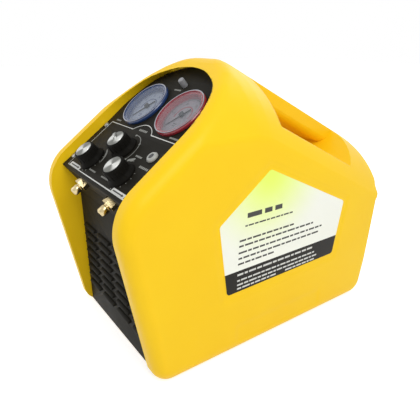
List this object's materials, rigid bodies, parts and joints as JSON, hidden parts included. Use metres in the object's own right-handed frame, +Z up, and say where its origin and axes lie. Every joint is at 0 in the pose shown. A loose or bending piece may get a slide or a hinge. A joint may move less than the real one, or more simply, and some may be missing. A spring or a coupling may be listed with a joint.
{
  "type": "refrigerant recovery machine",
  "caption": "Portable refrigerant recovery machine in a moulded case with carry handle, twin gauges, valve knobs, flare ports, and a piston compressor, fan and condenser inside.",
  "frame": {"origin": "on the floor under the middle of the case", "axes": "+X to the right seen from the front, +Y from the front to the back, +Z up"},
  "size_m": [0.25, 0.425, 0.355],
  "materials": {
    "yellow_plastic": "satin moulded polyethylene",
    "black_sheet": "satin black powder coat",
    "steel": "zinc plated",
    "black_plastic": "satin",
    "grey_plastic": "satin",
    "label_print": "gloss printed film",
    "blue_enamel": "gloss",
    "red_enamel": "gloss",
    "dial_face": "matt print",
    "gauge_glass": "clear",
    "brass": "machined",
    "aluminium": "cast",
    "bright_cap": "turned",
    "motor_paint": "semi-gloss",
    "copper": "drawn tube",
    "rubber": "matt"
  },
  "bodies": {
    "chassis": {"case_shell": "yellow_plastic", "control_panel": "black_sheet", "front_grille": "black_sheet", "base_plate": "black_sheet", "rear_panel": "black_sheet", "fan_guard": "steel", "power_inlet": "black_plastic", "side_label": "label_print", "low_gauge_case": "blue_enamel", "low_gauge_dial": "dial_face", "low_gauge_lens": "gauge_glass", "high_gauge_case": "red_enamel", "high_gauge_dial": "dial_face", "high_gauge_lens": "gauge_glass", "valve_block": "aluminium", "input_bonnet": "brass", "output_bonnet": "brass", "mode_bonnet": "brass", "input_fitting": "brass", "output_fitting": "brass", "power_switch": "grey_plastic", "pressure_switch": "black_plastic", "motor_shell": "motor_paint", "crankcase": "aluminium", "left_cylinder": "aluminium", "right_cylinder": "aluminium", "left_head": "aluminium", "right_head": "aluminium", "condenser_fins": "aluminium", "condenser_tubes": "copper", "condenser_frame": "steel", "capacitor": "grey_plastic", "capacitor_strap": "steel", "mount_1": "rubber", "mount_2": "rubber", "mount_3": "rubber", "mount_4": "rubber", "suction_tube": "copper", "discharge_tube": "copper", "return_tube": "copper", "low_gauge_tube": "copper", "high_gauge_tube": "copper", "panel_screws": "steel", "rear_screws": "steel"},
    "input_knob_body": {"input_knob": "black_plastic", "input_cap": "bright_cap", "input_stem": "steel"},
    "output_knob_body": {"output_knob": "black_plastic", "output_cap": "bright_cap", "output_stem": "steel"},
    "mode_knob_body": {"mode_knob": "black_plastic", "mode_cap": "bright_cap", "mode_stem": "steel"},
    "power_button_body": {"power_button": "black_plastic"},
    "reset_button_body": {"reset_button": "grey_plastic"},
    "low_pointer_body": {"low_gauge_pointer": "black_plastic"},
    "high_pointer_body": {"high_gauge_pointer": "black_plastic"},
    "rotor": {"motor_shaft": "steel", "fan": "black_plastic"}
  },
  "joints": [
    {"name": "input_knob_turn", "type": "hinge", "parent": "chassis", "child": "input_knob_body", "pos_m": [-0.0435, -0.17244, 0.23737], "axis": [0, -0.585, 0.8111], "range_deg": [0, 90]},
    {"name": "output_knob_turn", "type": "hinge", "parent": "chassis", "child": "output_knob_body", "pos_m": [0.0435, -0.17244, 0.23737], "axis": [0, -0.585, 0.8111], "range_deg": [0, 90]},
    {"name": "mode_knob_turn", "type": "hinge", "parent": "chassis", "child": "mode_knob_body", "pos_m": [0, -0.14777, 0.25516], "axis": [0, -0.585, 0.8111], "range_deg": [0, 127]},
    {"name": "power_button_push", "type": "slide", "parent": "chassis", "child": "power_button_body", "axis": [0, 0.585, -0.8111], "range_m": [0, 0.00207], "stiffness_N_per_m": 800},
    {"name": "reset_button_push", "type": "slide", "parent": "chassis", "child": "reset_button_body", "axis": [0, 0.6266, -0.7793], "range_m": [0, 0.0025], "stiffness_N_per_m": 800},
    {"name": "low_pointer_turn", "type": "hinge", "parent": "chassis", "child": "low_pointer_body", "pos_m": [-0.0428, -0.09274, 0.29701], "axis": [0, -0.6266, 0.7793], "range_deg": [-290, 0]},
    {"name": "high_pointer_turn", "type": "hinge", "parent": "chassis", "child": "high_pointer_body", "pos_m": [0.0428, -0.09274, 0.29701], "axis": [0, -0.6266, 0.7793], "range_deg": [-290, 0]},
    {"name": "fan_spin", "type": "hinge", "parent": "chassis", "child": "rotor", "pos_m": [0, 0, 0.096], "axis": [0, 1, 0], "continuous": true}
  ]
}
